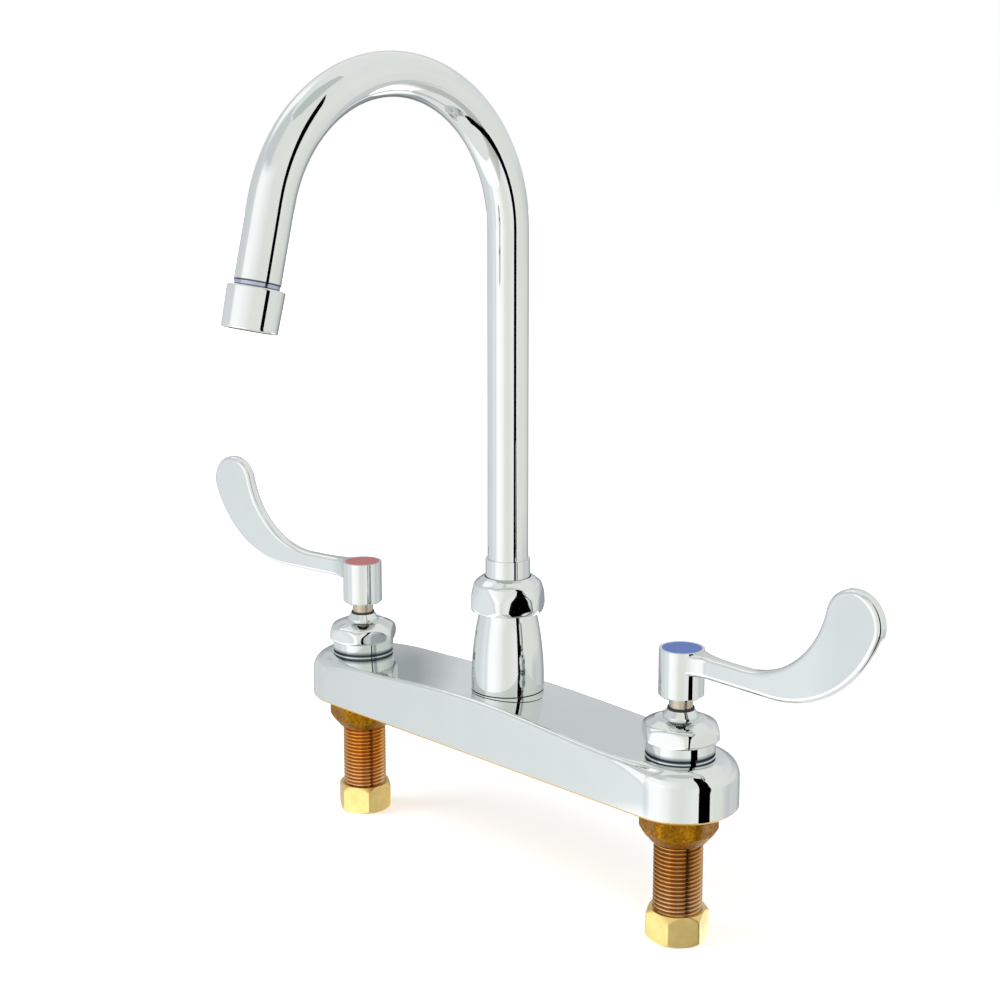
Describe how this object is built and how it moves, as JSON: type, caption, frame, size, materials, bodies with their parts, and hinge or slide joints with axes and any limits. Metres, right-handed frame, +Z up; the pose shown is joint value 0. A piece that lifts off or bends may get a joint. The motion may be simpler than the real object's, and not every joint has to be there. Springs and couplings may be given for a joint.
{
  "type": "deck-mount gooseneck faucet",
  "caption": "Deck-mount faucet with a swivelling gooseneck spout, crowned round-ended body, wrist-blade handles with red and blue buttons, threaded shanks and brass nuts.",
  "frame": {"origin": "on the deck plane, under the middle of the body, on the spout's swivel axis", "axes": "+Z up from the deck; the body lies along X with the hot valve at -X and the cold valve at +X; the spout reaches towards -Y"},
  "size_m": [0.4022, 0.1749, 0.3678],
  "materials": {
    "chrome": "polished chrome plating",
    "bronze": "brown oxidised bronze thread",
    "cast_brass": "grainy cast brass",
    "turned_brass": "pale machined brass",
    "nickel": "warm nickel-plated stem",
    "stainless": "stainless steel",
    "black_rubber": "black rubber",
    "ceramic": "lapped white ceramic",
    "white_nylon": "natural nylon",
    "hot_red": "glossy red",
    "cold_blue": "glossy blue"
  },
  "bodies": {
    "body": {"body_casting": "chrome", "spout_riser": "chrome", "riser_gasket": "black_rubber", "spout_glide_rings": "white_nylon", "spout_nut": "chrome", "hot_shank": "bronze", "hot_lock_nut": "cast_brass", "hot_coupling_nut": "turned_brass", "hot_coupling_washer": "black_rubber", "hot_seat_seal": "black_rubber", "hot_fixed_disc": "ceramic", "hot_cartridge_housing": "turned_brass", "hot_cartridge_o_rings": "black_rubber", "hot_bonnet_nut": "chrome", "hot_stem_collar": "chrome", "cold_shank": "bronze", "cold_lock_nut": "cast_brass", "cold_coupling_nut": "turned_brass", "cold_coupling_washer": "black_rubber", "cold_seat_seal": "black_rubber", "cold_fixed_disc": "ceramic", "cold_cartridge_housing": "turned_brass", "cold_cartridge_o_rings": "black_rubber", "cold_bonnet_nut": "chrome", "cold_stem_collar": "chrome"},
    "spout": {"spout_sleeve": "chrome", "spout_o_rings": "black_rubber", "spout_tube": "chrome", "aerator_housing": "chrome", "aerator_washer": "black_rubber", "aerator_insert": "white_nylon"},
    "hot_handle": {"hot_moving_disc": "ceramic", "hot_stem": "nickel", "hot_dust_ring": "black_rubber", "hot_blade_handle": "chrome", "hot_handle_screw": "stainless", "hot_index_button": "hot_red"},
    "cold_handle": {"cold_moving_disc": "ceramic", "cold_stem": "nickel", "cold_dust_ring": "black_rubber", "cold_blade_handle": "chrome", "cold_handle_screw": "stainless", "cold_index_button": "cold_blue"}
  },
  "joints": [
    {"name": "spout_swivel", "type": "hinge", "parent": "body", "child": "spout", "pos_m": [0, 0, 0.06], "axis": [0, 0, 1], "continuous": true},
    {"name": "hot_handle_turn", "type": "hinge", "parent": "body", "child": "hot_handle", "pos_m": [-0.1016, 0, 0.05], "axis": [0, 0, 1], "range_deg": [0, 90]},
    {"name": "cold_handle_turn", "type": "hinge", "parent": "body", "child": "cold_handle", "pos_m": [0.1016, 0, 0.05], "axis": [0, 0, 1], "range_deg": [-90, 0]}
  ]
}
